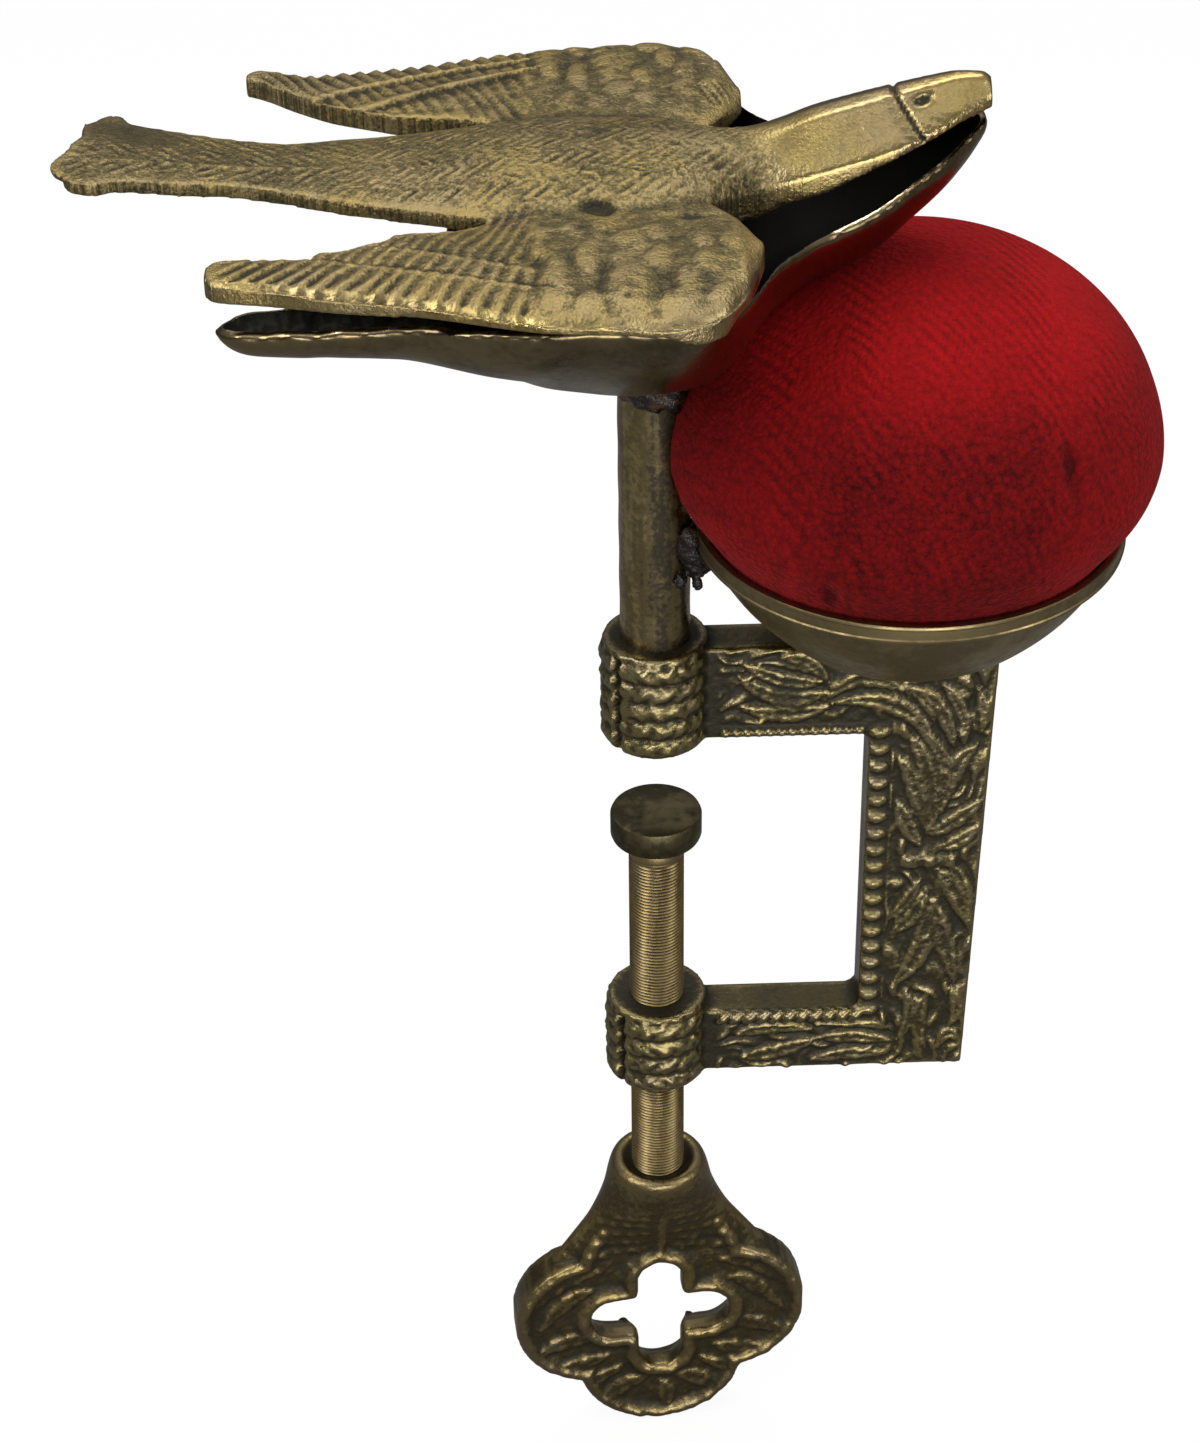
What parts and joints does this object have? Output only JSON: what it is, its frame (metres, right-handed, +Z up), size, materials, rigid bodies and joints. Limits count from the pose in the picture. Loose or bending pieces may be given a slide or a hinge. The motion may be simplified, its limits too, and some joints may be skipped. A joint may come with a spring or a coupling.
{
  "type": "sewing bird",
  "caption": "Brass sewing bird: a table clamp with a thumbscrew below, a sprung bird whose beak holds cloth on top, and a velvet pincushion in a cup.",
  "frame": {"origin": "middle of the upper jaw face, on the axis of the screw and the post", "axes": "+Z up along the post, +X towards the beak and the spine of the frame, +Y away from the front"},
  "size_m": [0.1222, 0.0706, 0.2029],
  "materials": {
    "cast_brass": "aged cast brass, darker in the hollows",
    "polished_brass": "smooth brass with a dull patina",
    "dark_braze": "blackened brazing metal",
    "velvet": "short red velvet pile",
    "filling": "loose wool or cotton",
    "card": "plain pressed card",
    "steel": "dull drawn wire"
  },
  "bodies": {
    "frame": {"c_frame": "cast_brass", "post": "cast_brass", "post_braze": "dark_braze", "cup_stay": "dark_braze", "pincushion_cup": "polished_brass", "cushion_cover": "velvet", "cushion_stuffing": "filling", "cushion_card": "card", "belly_shell": "polished_brass", "hinge_pin": "steel", "beak_spring": "steel"},
    "bird": {"bird_casting": "cast_brass"},
    "pad": {"screw_pad": "cast_brass"},
    "screw": {"threaded_rod": "polished_brass", "thumb_handle": "cast_brass", "handle_pin": "steel"}
  },
  "joints": [
    {"name": "beak_hinge", "type": "hinge", "parent": "frame", "child": "bird", "pos_m": [-0.008, 0, 0.0689], "axis": [0, -1, 0], "range_deg": [0, 5], "stiffness_Nm_per_rad": 1.2, "springref_deg": -14.32, "deforming": ["beak_spring"]},
    {"name": "pad_slide", "type": "slide", "parent": "frame", "child": "pad", "axis": [0, 0, 1], "range_m": [-0.024, 0.0116]},
    {"name": "screw_turn", "type": "hinge", "parent": "pad", "child": "screw", "pos_m": [0, 0, -0.0119], "axis": [0, 0, 1], "range_deg": [-17281, 8353]}
  ],
  "couplings": [
    {"joint": "screw_turn", "follows": "pad_slide", "rad_per_m": 12566}
  ]
}
